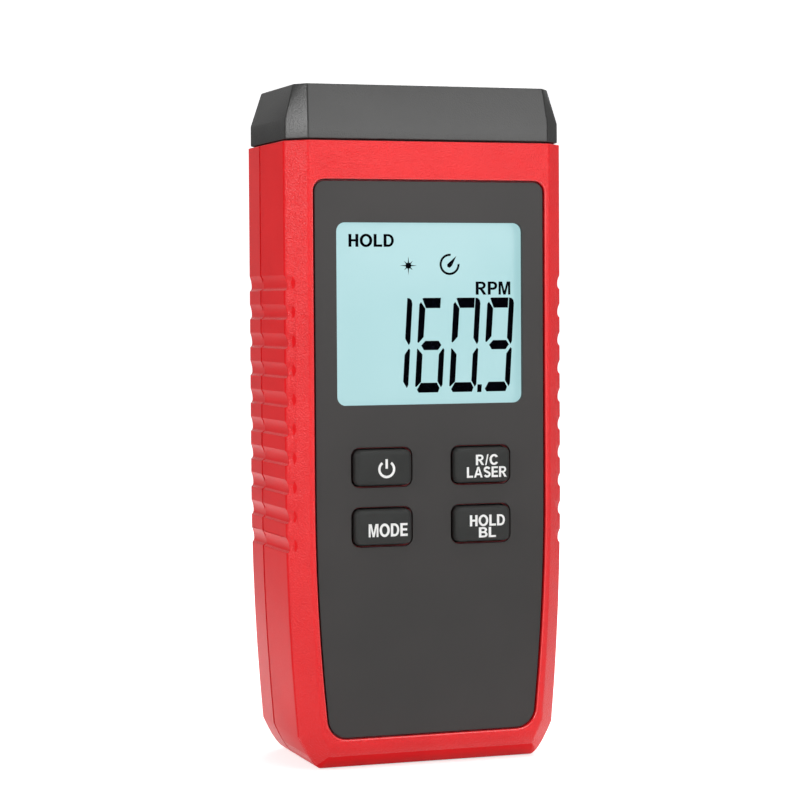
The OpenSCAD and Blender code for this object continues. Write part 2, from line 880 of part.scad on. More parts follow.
module pill(p) {
    color(black)
        pin(p[0], p[1], pill_d, stem_back, pill_back);
}

module power_key() { key(keys_at[0]); }
module power_pill() { pill(keys_at[0]); }
module laser_key() { key(keys_at[1]); }
module laser_pill() { pill(keys_at[1]); }
module mode_key() { key(keys_at[2]); }
module mode_pill() { pill(keys_at[2]); }
module hold_key() { key(keys_at[3]); }
module hold_pill() { pill(keys_at[3]); }

// Optics

peg_d = 2;
plate_t = 2;
holder_pegs = [holder_z + 0.25 * plate_h, holder_z + 0.8 * plate_h];
laser_sleeve = 18;

module optics_holder() {
    color(black)
        difference() {
            union() {
                bar(0, holder_z + plate_h / 2, 2 * optic_x + lens_d, plate_h, board_back,
                    board_back + plate_t);
                bar(0, holder_z + plate_h / 2, 2 * optic_x, plate_h, board_back, optic_t);
                stub(-optic_x, optic_t, tube_d, holder_z, holder_z + laser_sleeve);
                stub(optic_x, optic_t, lens_d, holder_z, lens_low);
                for (z = holder_pegs)
                    pin(0, z, peg_d, board_front, board_back + sliver);
            }
            stub(-optic_x, optic_t, laser_d + 2 * run, holder_z - over, holder_z + laser_sleeve + over);
            stub(optic_x, optic_t, lens_bore, holder_z - over, lens_low + over);
        }
}

module laser_barrel() {
    color(brass)
        difference() {
            stub(-optic_x, optic_t, laser_d, holder_z, laser_top);
            stub(-optic_x, optic_t, laser_bore, holder_z - over, laser_top + over);
            stub(-optic_x, optic_t, laser_port, laser_top - glass_h - fit, laser_top + over);
        }
}

module laser_diode() {
    color(steel)
        stub(-optic_x, optic_t, diode_d, holder_z, holder_z + laser_bore);
}

module laser_lens() {
    color([0.8, 0.5, 0.5, 0.6])
        stub(-optic_x, optic_t, laser_port - 2 * run, laser_top - glass_h - fit, laser_top - fit);
}

module receiver_lens() {
    rise_d = lens_port - 2 * fit;
    ball = (pow(rise_d / 2, 2) + pow(lens_rise, 2)) / (2 * lens_rise);
    color([0.6, 0.65, 0.75, 0.6])
        union() {
            stub(optic_x, optic_t, lens_d, lens_low, cap_roof);
            intersection() {
                stub(optic_x, optic_t, rise_d, cap_roof - sliver, cap_roof + over + lens_rise);
                translate([optic_x, front_y + optic_t, cap_roof + lens_rise - ball])
                    sphere(ball);
            }
        }
}

module photodiode() {
    color([0.1, 0.1, 0.14])
        union() {
            stub(optic_x, optic_t, bulb_d + 2 * bulb_rim, holder_z, holder_z + bulb_foot);
            stub(optic_x, optic_t, bulb_d, holder_z, holder_z + bulb_d);
            translate([optic_x, front_y + optic_t, holder_z + bulb_d])
                sphere(d = bulb_d);
        }
}

module sensor_board() {
    color(green)
        bar(0, holder_z - sensor_t / 2, 2 * optic_x + lens_d, sensor_t, board_back + run,
            optic_t + tube_d / 2);
}

// Cells and contacts

function flipped(k) = k == 1;
cell_x = [-pitch, 0, pitch];
cell_foot = bay_low + contact_t + spring_h + bay_slack / 2;
contact_tails = [
    [-pitch, bay_top - fit - contact_t / 2], [pitch, bay_low + fit + contact_t / 2]
];

module cell(k) {
    color([0.16, 0.3, 0.5])
        translate([cell_x[k], front_y + cell_t, flipped(k) ? bay_low + bay_top - cell_foot : cell_foot])
            mirror([0, 0, flipped(k) ? 1 : 0]) {
                cylinder(d = cell_d, h = cell_l);
                cylinder(d = nub_d, h = cell_l + nub_h);
            }
}

module left_cell() { cell(0); }
module middle_cell() { cell(1); }
module right_cell() { cell(2); }

// A plate at one end of the bay, with its stud over the positive end of a cell
module contact(from, to, studs, upper) {
    z = upper ? bay_top - fit - contact_t / 2 : bay_low + fit + contact_t / 2;
    bar((cell_x[from] + cell_x[to]) / 2, z, cell_x[to] - cell_x[from] + contact_w, contact_t,
        cell_t - contact_w / 2, cell_t + contact_w / 2);
    for (k = studs)
        stub(cell_x[k], cell_t, nub_d + 1, upper ? z - contact_t / 2 - stud_h : z,
            upper ? z : z + contact_t / 2 + stud_h);
}

module contact_plates() {
    color(steel) {
        contact(0, 0, [0], true);
        contact(1, 2, [2], true);
        contact(0, 1, [1], false);
        contact(2, 2, [], false);
        for (p = contact_tails)
            bar(p[0], p[1], tail_w, contact_t, board_back, cell_t - contact_w / 2 + sliver);
    }
}

// One ring of points round the spring's wire at a turn of its coil
function wire_ring(turn, sides) =
    let (a = 360 * turn, s = turn / spring_turns,
         r = cell_d * 0.36 * (1 - s) + cell_d * 0.22 * s,
         z = spring_wire / 2 + (spring_h - spring_wire) * s)
    [for (k = [0 : sides - 1])
        let (b = 360 * k / sides, q = r + spring_wire / 2 * cos(b))
            [q * cos(a), q * sin(a), z + spring_wire / 2 * sin(b)]];

module coil() {
    sides = 6;
    rings = round(spring_turns * 14);
    points = [for (k = [0 : rings]) each wire_ring(spring_turns * k / rings, sides)];
    walls = [
        for (k = [0 : rings - 1], j = [0 : sides - 1])
            let (i = (j + 1) % sides)
                [k * sides + j, k * sides + i, (k + 1) * sides + i, (k + 1) * sides + j]
    ];
    ends = [
        [for (j = [sides - 1 : -1 : 0]) j],
        [for (j = [0 : sides - 1]) rings * sides + j]
    ];
    polyhedron(points, concat(walls, ends), convexity = 8);
}

module contact_springs() {
    low = bay_low + fit + contact_t;
    color(steel)
        for (k = [0 : 2])
            translate([cell_x[k], front_y + cell_t, flipped(k) ? bay_low + bay_top - low : low])
                mirror([0, 0, flipped(k) ? 1 : 0])
                    coil();
}

// Battery door

module battery_door() {
    ridge = 1.6;
    color(red)
        difference() {
            union() {
                bar(0, (hinge_z + door_top) / 2, door_w, door_top - hinge_z, door_inner, body_d);
                translate([-door_w / 2, front_y + hinge_t, hinge_z])
                    rotate([0, 90, 0])
                        cylinder(r = nose_r, h = door_w);
                for (side = [-1, 1])
                    bar(side * tab_x, (door_z - tab_reach + bay_low - door_gap) / 2, tab_w,
                        bay_low - door_gap - door_z + tab_reach, tab_front, door_inner + sliver);
                bar(0, door_top - hook_h / 2, latch_w, hook_h, door_inner - hook_t,
                    door_inner + sliver);
            }
            for (side = [-1, 1])
                bar(side * (latch_w + latch_slot) / 2, door_top - latch_l / 2, latch_slot,
                    latch_l + sliver * 2, door_inner - over, body_d + over);
            for (k = [1 : 3])
                translate([-latch_w / 2 + ridge, front_y + body_d + 0.35, door_top - k * ridge - 0.6])
                    rotate([0, 90, 0])
                        cylinder(d = 1.5, h = latch_w - 2 * ridge);
        }
}

// Screws

module screw(x, z, d, head, head_h, under, tip) {
    difference() {
        union() {
            pin(x, z, d, tip, under + sliver);
            pin(x, z, head, under, under + head_h);
        }
        for (turn = [0, 90])
            translate([x, front_y + under + head_h, z])
                rotate([0, turn, 0])
                    cube([head * 0.6, head_h, head * 0.16], center = true);
    }
}

module case_screws() {
    color(steel)
        for (p = case_screws_at)
            screw(p[0], p[1], screw_d, screw_head, screw_head_h,
                body_d - screw_sink - screw_head_h, part_depth - screw_bite);
}

module board_screws() {
    color(steel)
        for (p = board_screws_at)
            screw(p[0], p[1], small_screw_d, small_head, small_head_h, board_back,
                board_front - small_bite);
}

front_shell();
back_shell();
top_cap();
front_panel();
display_window();
display_frame();
lcd_glass();
light_guide();
contact_strips();
main_board();
controller_chip();
crystal_can();
key_mat();
power_key();
power_pill();
laser_key();
laser_pill();
mode_key();
mode_pill();
hold_key();
hold_pill();
optics_holder();
laser_barrel();
laser_diode();
laser_lens();
receiver_lens();
photodiode();
sensor_board();
left_cell();
middle_cell();
right_cell();
contact_plates();
contact_springs();
battery_door();
case_screws();
board_screws();
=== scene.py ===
# Hand-held laser tachometer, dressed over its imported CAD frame.
import math

import bmesh
import bpy
from mathutils import Matrix, Vector


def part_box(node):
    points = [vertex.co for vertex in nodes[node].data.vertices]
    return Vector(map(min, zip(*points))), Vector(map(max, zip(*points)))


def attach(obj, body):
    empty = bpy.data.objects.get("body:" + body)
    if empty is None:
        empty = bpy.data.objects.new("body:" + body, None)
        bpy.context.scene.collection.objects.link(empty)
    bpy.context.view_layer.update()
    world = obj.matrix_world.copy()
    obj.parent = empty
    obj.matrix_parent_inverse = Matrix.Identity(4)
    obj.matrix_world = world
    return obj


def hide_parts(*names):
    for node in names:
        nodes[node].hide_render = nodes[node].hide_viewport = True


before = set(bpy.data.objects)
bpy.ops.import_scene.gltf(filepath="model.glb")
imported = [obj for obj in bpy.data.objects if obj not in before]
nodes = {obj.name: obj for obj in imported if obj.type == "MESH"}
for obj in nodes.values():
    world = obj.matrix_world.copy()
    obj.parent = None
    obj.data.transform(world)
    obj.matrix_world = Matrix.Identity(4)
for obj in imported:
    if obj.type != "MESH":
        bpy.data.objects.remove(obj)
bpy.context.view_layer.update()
mm = 0.001


# The front shell is one half of the red housing, moulded in ABS with a fine spark-eroded grain.
# Its side walls are smooth and dull for the grip, and the rounded rim of its pocket shines.
# The other parts drop into it from behind.

def merged_copy(node, name, flatten=True):
    bpy.ops.object.select_all(action="DESELECT")
    piece = bpy.data.objects.new(name, nodes[node].data.copy())
    bpy.context.scene.collection.objects.link(piece)
    piece.data.materials.clear()
    bpy.context.view_layer.objects.active = piece
    piece.select_set(True)
    bpy.ops.mesh.customdata_custom_splitnormals_clear()
    bpy.ops.object.mode_set(mode="EDIT")
    bpy.ops.mesh.select_all(action="SELECT")
    bpy.ops.mesh.remove_doubles(threshold=0.02 * mm)
    if flatten:
        bpy.ops.mesh.dissolve_limited(angle_limit=math.radians(0.6))
    bpy.ops.mesh.select_all(action="DESELECT")
    bpy.ops.object.mode_set(mode="OBJECT")
    return piece


def pick_edges(piece, wanted):
    bpy.ops.mesh.select_mode(type="EDGE")
    bpy.ops.mesh.select_all(action="DESELECT")
    mesh = bmesh.from_edit_mesh(piece.data)
    for edge in mesh.edges:
        if wanted(edge):
            edge.select_set(True)
    bmesh.update_edit_mesh(piece.data)


def soften_edges(piece, width, seen, steps=2, sharper_than=28):
    def wanted(edge):
        if len(edge.link_faces) != 2 or edge.calc_face_angle() <= math.radians(sharper_than):
            return False
        return seen((edge.verts[0].co + edge.verts[1].co) / 2)

    bpy.ops.object.select_all(action="DESELECT")
    bpy.context.view_layer.objects.active = piece
    piece.select_set(True)
    bpy.ops.object.mode_set(mode="EDIT")
    pick_edges(piece, wanted)
    bpy.ops.mesh.bevel(offset=width, segments=steps, profile=0.5, affect="EDGES",
                       clamp_overlap=False, loop_slide=False)
    bpy.ops.mesh.select_mode(type="VERT")
    bpy.ops.object.mode_set(mode="OBJECT")
    bpy.ops.object.shade_smooth_by_angle(angle=math.radians(32))


def level_faces(piece, above):
    group = piece.vertex_groups.new(name="level")
    group.add([v.index for v in piece.data.vertices if v.co.z > above], 1, "REPLACE")
    bpy.ops.object.modifier_add(type="WEIGHTED_NORMAL")
    level = piece.modifiers[-1]
    level.keep_sharp, level.weight, level.vertex_group = True, 30, "level"
    bpy.ops.object.modifier_apply(modifier=level.name)
    piece.vertex_groups.clear()


def new_finish(name):
    finish = bpy.data.materials.new(name)
    finish.use_nodes = True
    return finish, finish.node_tree, finish.node_tree.nodes["Principled BSDF"]


def object_noise(tree, scale, detail=2):
    where = tree.nodes.new("ShaderNodeTexCoord")
    noise = tree.nodes.new("ShaderNodeTexNoise")
    noise.inputs["Scale"].default_value = scale
    noise.inputs["Detail"].default_value = detail
    tree.links.new(where.outputs["Object"], noise.inputs["Vector"])
    return noise


def tint_between(tree, surface, noise, low, high, socket="Base Color"):
    ramp = tree.nodes.new("ShaderNodeValToRGB")
    first, last = ramp.color_ramp.elements
    first.position, last.position = 0.35, 0.65
    first.color, last.color = (*low, 1), (*high, 1)
    tree.links.new(noise.outputs["Fac"], ramp.inputs["Fac"])
    tree.links.new(ramp.outputs["Color"], surface.inputs[socket])


def map_range(tree, value, span=(0, 1), onto=(0, 1)):
    spread = tree.nodes.new("ShaderNodeMapRange")
    spread.inputs["From Min"].default_value, spread.inputs["From Max"].default_value = span
    spread.inputs["To Min"].default_value, spread.inputs["To Max"].default_value = onto
    tree.links.new(value, spread.inputs["Value"])
    return spread.outputs["Result"]


def gloss_between(tree, surface, noise, low, high):
    rough = map_range(tree, noise.outputs["Fac"], onto=(low, high))
    tree.links.new(rough, surface.inputs["Roughness"])


def grain_bump(tree, surface, noise, strength, height):
    bump = tree.nodes.new("ShaderNodeBump")
    bump.inputs["Strength"].default_value = strength
    bump.inputs["Distance"].default_value = height
    tree.links.new(noise.outputs["Fac"], bump.inputs["Height"])
    tree.links.new(bump.outputs["Normal"], surface.inputs["Normal"])


def finish_sides(piece, finish):
    side_facing, base_share = 0.84, 1.5
    piece.data.materials.append(finish)
    for face in piece.data.polygons:
        if max(abs(face.normal.x), -base_share * face.normal.z) > side_facing:
            face.material_index = len(piece.data.materials) - 1


def red_finish(name, shine, grain_depth, rough=(0.30, 0.40)):
    finish, tree, surface = new_finish(name)
    tint_between(tree, surface, object_noise(tree, 55), (0.79, 0.011, 0.015), (0.84, 0.015, 0.019))
    surface.inputs["Specular IOR Level"].default_value = shine
    grain = object_noise(tree, 3000, 1.5)
    gloss_between(tree, surface, grain, *rough)
    grain_bump(tree, surface, grain, 1, grain_depth)
    return finish


red_plastic = red_finish("red_plastic", 0.38, 0.17 * mm)

shell_half, shell_top = 30 * mm, 127.6 * mm
front_face = -16 * mm
outer_skin = 0.7 * mm
root_two = 1.414
pocket_half, pocket_foot, pocket_head = 26 * mm, 5 * mm, 122 * mm
pocket_middle = 62 * mm
pocket_lip, rim_front = -15.7 * mm, -15.9 * mm
base_bevel_top = 7 * mm


def inside_wall(p):
    taper_start, taper_radius = 55.5 * mm, 540 * mm
    return shell_half - max(0, taper_start - p.z) ** 2 / (2 * taper_radius) - abs(p.x)


def outside_shell(p):
    bevel = 4 * mm
    side, front = inside_wall(p), p.y - front_face
    edge, foot = (side + front - bevel) / root_two, (p.z + front - bevel) / root_two
    return min(side, front, edge, p.z, foot, shell_top - p.z) < outer_skin


def round_pocket(p):
    return p.y < pocket_lip and abs(p.x) < pocket_half and pocket_foot < p.z < pocket_head


front_shell = merged_copy("front_shell", "front_shell_moulding", flatten=False)
soften_edges(front_shell, 0.22 * mm, lambda p: round_pocket(p) and p.y < rim_front, 3)
soften_edges(front_shell, 0.12 * mm, lambda p: p.y > pocket_lip and outside_shell(p))
level_faces(front_shell, base_bevel_top)
front_shell.data.materials.append(red_plastic)
finish_sides(front_shell, red_finish("red_plastic_side", 0.06, 0.005 * mm))
# Painted shade: the pocket floor gets a far darker red than the shell, so that the thin gaps round
# the keys and the panel read as shaded lines.
pocket_painted_shade = red_plastic.copy()
pocket_painted_shade.name = "red_plastic_pocket_painted_shade"
painted_shade_ramp = pocket_painted_shade.node_tree.nodes["Color Ramp"].color_ramp
for stop, tint in zip(painted_shade_ramp.elements, (0.20, 0.24)):
    stop.color = (tint, 0.010, 0.016, 1)
front_shell.data.materials.append(pocket_painted_shade)
front_shell.data.materials.append(red_finish("red_plastic_rim", 0.9, 0.005 * mm, (0.18, 0.24)))
pocket_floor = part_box("front_panel")[1].y
painted_shade_slot, rim_slot = 2, 3
# Pocket floor faces take the painted shade, and the rounded rim faces take the glossy rim finish.
for face in front_shell.data.polygons:
    if face.normal.y < -0.9 and abs(face.center.y - pocket_floor) < 0.05 * mm:
        face.material_index = painted_shade_slot
    inward = -face.normal.x * face.center.x + face.normal.z * (pocket_middle - face.center.z)
    if round_pocket(face.center) and -0.99 < face.normal.y < -0.1 and inward > 0:
        face.material_index = rim_slot
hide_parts("front_shell")
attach(front_shell, "housing")


# The front panel is a die-cut sheet of dark grey polycarbonate with a matt printed face.
# It is glued into the shallow pocket of the front shell, round the display and the keys.

grey_sheet, tree, surface = new_finish("grey_sheet")
tint_between(tree, surface, object_noise(tree, 40), (0.032, 0.030, 0.029), (0.037, 0.034, 0.033))
surface.inputs["Specular IOR Level"].default_value = 0.3
grain = object_noise(tree, 5200, 1.0)
gloss_between(tree, surface, grain, 0.40, 0.48)
grain_bump(tree, surface, grain, 0.12, 0.01 * mm)

panel_front = -15.5 * mm
front_panel = merged_copy("front_panel", "front_panel_sheet", flatten=False)
soften_edges(front_panel, 0.08 * mm, lambda p: p.y < panel_front, 2, 50)
level_faces(front_panel, 0)
front_panel.data.materials.append(grey_sheet)
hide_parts("front_panel")
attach(front_panel, "housing")


# The window is a clear acrylic sheet with polished faces, set behind the panel.
# It keeps dust off the display and shows a faint reflection at a low angle.

def coat(piece, finish):
    piece.data.materials.clear()
    piece.data.materials.append(finish)


clear_sheet, tree, surface = new_finish("clear_sheet")
surface.inputs["Base Color"].default_value = (0.93, 0.98, 0.98, 1)
surface.inputs["Metallic"].default_value = 1
gloss_between(tree, surface, object_noise(tree, 300, 3), 0.04, 0.10)
slant_to_eye = tree.nodes.new("ShaderNodeLayerWeight")
slant_to_eye.inputs["Blend"].default_value = 0.5
glint = map_range(tree, slant_to_eye.outputs["Facing"], (0.25, 1), (0, 0.3))
tree.links.new(glint, surface.inputs["Alpha"])
coat(nodes["display_window"], clear_sheet)


# The display is a glass sandwich on a white light guide, held in a black frame.
# The guide lights it from behind, so that it glows pale blue with black segments.

lit_glass, tree, surface = new_finish("lit_glass")
tint_between(tree, surface, object_noise(tree, 45, 1), (0.44, 0.75, 0.78), (0.49, 0.79, 0.82),
             "Emission Color")
surface.inputs["Emission Strength"].default_value = 0.83
surface.inputs["Base Color"].default_value = (0.02, 0.035, 0.037, 1)
gloss_between(tree, surface, object_noise(tree, 2500, 1), 0.25, 0.35)
coat(nodes["lcd_glass"], lit_glass)

white_guide, tree, surface = new_finish("white_guide")
tint_between(tree, surface, object_noise(tree, 150), (0.78, 0.86, 0.87), (0.86, 0.92, 0.92))
gloss_between(tree, surface, object_noise(tree, 900), 0.20, 0.32)
coat(nodes["light_guide"], white_guide)

black_moulding, tree, surface = new_finish("black_moulding")
tint_between(tree, surface, object_noise(tree, 90), (0.010, 0.010, 0.011), (0.016, 0.016, 0.017))
grain = object_noise(tree, 2600, 1.5)
gloss_between(tree, surface, grain, 0.42, 0.56)
grain_bump(tree, surface, grain, 0.2, 0.02 * mm)
coat(nodes["display_frame"], black_moulding)

# The segments are the dark areas of the liquid crystal: four figures with cut corners,
# two words and two small signs, all in the plane of the glass.

black_crystal, tree, surface = new_finish("black_crystal")
tint_between(tree, surface, object_noise(tree, 500), (0.001, 0.001, 0.002), (0.002, 0.002, 0.004))
gloss_between(tree, surface, object_noise(tree, 1500), 0.55, 0.65)
surface.inputs["Specular IOR Level"].default_value = 0

glass_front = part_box("lcd_glass")[0].y


def flat_mark(name, outlines, plane, thick):
    curve = bpy.data.curves.new(name, "CURVE")
    curve.dimensions = "2D"
    curve.fill_mode = "BOTH"
    curve.extrude = thick / 2
    for points in outlines:
        line = curve.splines.new("POLY")
        line.points.add(len(points) - 1)
        line.use_cyclic_u = True
        for knot, (across, up) in zip(line.points, points):
            knot.co = (across * mm, up * mm, 0, 1)
    mark = bpy.data.objects.new(name, curve)
    bpy.context.scene.collection.objects.link(mark)
    return stand_up(mark, plane - thick / 2)


def stand_up(mark, plane):
    bpy.ops.object.select_all(action="DESELECT")
    bpy.context.view_layer.objects.active = mark
    mark.select_set(True)
    bpy.ops.object.convert(target="MESH")
    mark = bpy.context.view_layer.objects.active
    mark.rotation_euler = (math.pi / 2, 0, 0)
    mark.location.y = plane
    bpy.ops.object.transform_apply(location=True, rotation=True, scale=True)
    return mark


def bow(middle, reach, start, end, steps=10):
    turns = [math.radians(start + (end - start) * k / steps) for k in range(steps + 1)]
    return [(middle[0] + reach[0] * math.cos(a), middle[1] + reach[1] * math.sin(a)) for a in turns]


def stroke(points, thick):
    left, right = [], []
    for k, (x, y) in enumerate(points):
        ahead, behind = points[min(k + 1, len(points) - 1)], points[max(k - 1, 0)]
        run, rise = ahead[0] - behind[0], ahead[1] - behind[1]
        long = math.hypot(run, rise)
        left.append((x - rise / long * thick / 2, y + run / long * thick / 2))
        right.append((x + rise / long * thick / 2, y - run / long * thick / 2))
    return left + right[::-1]


def eye(low, high, middle, reach, turn=70, steps=8):
    stem, x = 0.24, middle[0]
    return ([(stem, low), (x, low)] + bow(middle, reach, -turn, turn, steps)
            + [(x, high), (stem, high)])


letters = {
    "H": (0.80, [[(0, 0), (0.24, 0), (0.24, 0.42), (0.56, 0.42), (0.56, 0), (0.80, 0),
                  (0.80, 1), (0.56, 1), (0.56, 0.60), (0.24, 0.60), (0.24, 1), (0, 1)]]),
    "L": (0.70, [[(0, 0), (0.70, 0), (0.70, 0.19), (0.24, 0.19), (0.24, 1), (0, 1)]]),
    "E": (0.74, [[(0, 0), (0.74, 0), (0.74, 0.19), (0.24, 0.19), (0.24, 0.43), (0.68, 0.43),
                  (0.68, 0.60), (0.24, 0.60), (0.24, 0.83), (0.72, 0.83), (0.72, 1), (0, 1)]]),
    "M": (0.97, [[(0, 0), (0.19, 0), (0.19, 0.74), (0.385, 0), (0.585, 0), (0.78, 0.74), (0.78, 0),
                  (0.97, 0), (0.97, 1), (0.68, 1), (0.485, 0.30), (0.29, 1), (0, 1)]]),
    "A": (0.98, [[(0, 0), (0.225, 0), (0.30, 0.22), (0.68, 0.22), (0.755, 0), (0.98, 0),
                  (0.60, 1), (0.38, 1)],
                 [(0.36, 0.39), (0.62, 0.39), (0.49, 0.77)]]),
    "/": (0.36, [[(0, -0.02), (0.14, -0.02), (0.36, 1.02), (0.22, 1.02)]]),
    "O": (1.02, [bow((0.51, 0.5), (0.51, 0.52), 0, 350, 35),
                 bow((0.51, 0.5), (0.27, 0.325), 0, 350, 35)]),
    "D": (0.84, [[(0, 0), (0.38, 0)] + bow((0.38, 0.5), (0.46, 0.5), -80, 80, 14)
                 + [(0.38, 1), (0, 1)],
                 eye(0.19, 0.83, (0.36, 0.5), (0.26, 0.33), 80, 14)]),
    "P": (0.78, [[(0, 0), (0.24, 0), (0.24, 0.37), (0.45, 0.37)]
                 + bow((0.45, 0.685), (0.33, 0.315), -80, 80, 12) + [(0.45, 1), (0, 1)],
                 eye(0.54, 0.83, (0.42, 0.685), (0.145, 0.145))]),
    "R": (0.88, [[(0, 0), (0.24, 0), (0.24, 0.41), (0.30, 0.41), (0.40, 0.34), (0.62, 0), (0.88, 0),
                  (0.64, 0.36), (0.56, 0.43)]
                 + bow((0.47, 0.71), (0.35, 0.29), -55, 80, 12) + [(0.47, 1), (0, 1)],
                 eye(0.57, 0.83, (0.45, 0.70), (0.155, 0.13))]),
    "B": (0.84, [[(0, 0), (0.47, 0)] + bow((0.47, 0.29), (0.37, 0.29), -80, 55, 10)
                 + bow((0.45, 0.755), (0.34, 0.245), -42, 80, 10) + [(0.45, 1), (0, 1)],
                 eye(0.19, 0.43, (0.45, 0.30), (0.165, 0.13)),
                 eye(0.60, 0.83, (0.42, 0.715), (0.15, 0.115))]),
    "C": (0.90, [bow((0.49, 0.5), (0.49, 0.52), 32, 328, 32)
                 + bow((0.49, 0.5), (0.25, 0.325), 322, 38, 28)]),
    "S": (0.80, [stroke(bow((0.40, 0.725), (0.285, 0.195), 18, 205, 14)
                        + [(0.20, 0.60), (0.40, 0.51), (0.60, 0.42)]
                        + bow((0.41, 0.285), (0.285, 0.205), 25, -162, 14), 0.21)]),
}


def word(name, text, low, high, plane, thick):
    forms, pen, gap = [], 0, 0.11
    for letter in text:
        wide, outlines = letters[letter]
        forms += [[(pen + x, y) for x, y in outline] for outline in outlines]
        pen += wide + gap
    wide, tall = (high[0] - low[0]) / (pen - gap), high[1] - low[1]
    placed = [[(low[0] + x * wide, low[1] + y * tall) for x, y in form] for form in forms]
    return flat_mark(name, placed, plane, thick)


bars = {
    "top": [(0.6, 19.25), (0.9, 19.4), (4.6, 19.4), (4.6, 17.3), (1.45, 17.3)],
    "upper_right": [(4.75, 19.4), (5.3, 19.3), (5.72, 18.9), (5.9, 18.2), (5.9, 10.35), (5.6, 9.75),
                    (4.75, 11.1)],
    "lower_right": [(5.65, 9.1), (5.95, 8.8), (5.95, 1.6), (5.65, 1.0), (4.8, 2.3), (4.8, 7.8)],
    "bottom": [(1.2, 2.0), (4.7, 2.0), (5.35, 0.9), (5.05, 0.0), (0.85, 0.0), (0.45, 0.6)],
    "lower_left": [(0.12, 9.05), (1.25, 7.8), (1.25, 2.2), (0.25, 1.15), (0.0, 1.3), (0.0, 8.9)],
    "upper_left": [(0.35, 18.55), (1.35, 17.2), (1.3, 11.4), (0.27, 10.2), (0.0, 10.35),
                   (0.0, 18.1)],
    "middle": [(0.87, 9.65), (1.7, 10.6), (4.6, 10.6), (5.25, 9.7), (4.57, 8.7), (1.5, 8.7)],
}
figures = [
    (-9.86, ["upper_right", "lower_right"]),
    (-2.43, ["top", "upper_left", "middle", "lower_left", "lower_right", "bottom"]),
    (5.0, ["top", "upper_left", "upper_right", "lower_left", "lower_right", "bottom"]),
    (12.43, ["top", "upper_left", "upper_right", "middle", "lower_right", "bottom"]),
]
figure_foot, figure_shift, slant = 76.5, -0.3, 0.0615
outlines = [
    [(left + u + slant * v + figure_shift, figure_foot + v) for u, v in bars[bar]]
    for left, lit in figures for bar in lit
]
decimal_point = [(10.9, 76.4), (11.85, 76.4), (11.95, 78.0), (11.0, 78.0)]
star_middle, star_core, short_ray, long_ray = (-3.95, 102.5), 0.62, 1.35, 1.9
star = []
for k in range(32):
    turn = math.radians(11.25 * k)
    reach = (long_ray if k % 8 == 0 else short_ray) if k % 4 == 0 else star_core
    star.append((star_middle[0] + reach * math.sin(turn), star_middle[1] + reach * math.cos(turn)))
dial_middle = (5.0, 102.75)
dial = bow(dial_middle, (2.18, 2.18), 82, 364, 47) + bow(dial_middle, (1.72, 1.72), 360, 84, 46)
pointer = [(6.5, 104.5), (5.5, 102.45), (5.05, 102.05), (4.55, 102.2), (4.45, 102.7), (4.85, 103.1)]
outlines += [decimal_point, star, dial, pointer]

crystal, crystal_plane = 0.02 * mm, glass_front - 0.005 * mm
segments = flat_mark("display_segments", outlines, crystal_plane, crystal)
hold_word = word("display_hold", "HOLD", (-16.75, 106.32), (-7.05, 108.92), crystal_plane, crystal)
unit_word = word("display_unit", "RPM", (10.7, 96.5), (18.35, 99.2), crystal_plane, crystal)
for mark in (segments, hold_word, unit_word):
    coat(mark, black_crystal)
    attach(mark, "housing")


# Two strips of striped rubber press the glass's edge contacts on to the board.
# The same black rubber, loaded with carbon, makes the pills under the keys.

carbon_rubber, tree, surface = new_finish("carbon_rubber")
tint_between(tree, surface, object_noise(tree, 1200, 3),
             (0.006, 0.006, 0.006), (0.014, 0.014, 0.014))
gloss_between(tree, surface, object_noise(tree, 2000), 0.6, 0.75)
for name in ("contact_strips", "power_pill", "laser_pill", "mode_pill", "hold_pill"):
    coat(nodes[name], carbon_rubber)


# The circuit boards are fibreglass with green solder mask, with a black epoxy chip on the main one.
# The crystal's can, the laser diode's can, the screws, the contacts and the springs
# are nickel-plated steel.

green_mask, tree, surface = new_finish("green_mask")
tint_between(tree, surface, object_noise(tree, 1800, 4),
             (0.008, 0.075, 0.022), (0.014, 0.110, 0.036))
gloss_between(tree, surface, object_noise(tree, 700), 0.22, 0.34)
for name in ("main_board", "sensor_board"):
    coat(nodes[name], green_mask)

chip_epoxy, tree, surface = new_finish("chip_epoxy")
tint_between(tree, surface, object_noise(tree, 2500, 3),
             (0.012, 0.012, 0.013), (0.020, 0.020, 0.021))
gloss_between(tree, surface, object_noise(tree, 3000), 0.5, 0.65)
coat(nodes["controller_chip"], chip_epoxy)

nickel, tree, surface = new_finish("nickel_plate")
surface.inputs["Metallic"].default_value = 1
tint_between(tree, surface, object_noise(tree, 800, 3), (0.50, 0.49, 0.46), (0.60, 0.59, 0.56))
gloss_between(tree, surface, object_noise(tree, 1800), 0.22, 0.38)
for name in ("crystal_can", "laser_diode", "contact_plates", "contact_springs",
             "case_screws", "board_screws"):
    coat(nodes[name], nickel)


# The four keys are pillows of dark grey silicone rubber on one mat, with white printed legends.
# A flange behind the shell keeps a key in, and a stem carries its carbon pill to the board.

soft_rubber, tree, surface = new_finish("soft_rubber")
tint_between(tree, surface, object_noise(tree, 160), (0.017, 0.018, 0.017), (0.021, 0.022, 0.021))
surface.inputs["Specular IOR Level"].default_value = 0.3
surface.inputs["Sheen Weight"].default_value = 0.03
surface.inputs["Sheen Roughness"].default_value = 0.5
grain = object_noise(tree, 4200, 1.5)
gloss_between(tree, surface, grain, 0.52, 0.64)
grain_bump(tree, surface, grain, 0.15, 0.01 * mm)
coat(nodes["key_mat"], soft_rubber)

for name in ("power", "laser", "mode", "hold"):
    key = merged_copy(name + "_key", name + "_key_pillow")
    bpy.ops.object.shade_smooth_by_angle(angle=math.radians(40))
    key.data.materials.append(soft_rubber)
    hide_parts(name + "_key")
    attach(key, name + "_button")

# The legends are one coat of white ink, pad-printed on the faces of the keys.
# Each rides on its key, with its strokes drawn as plain filled outlines.

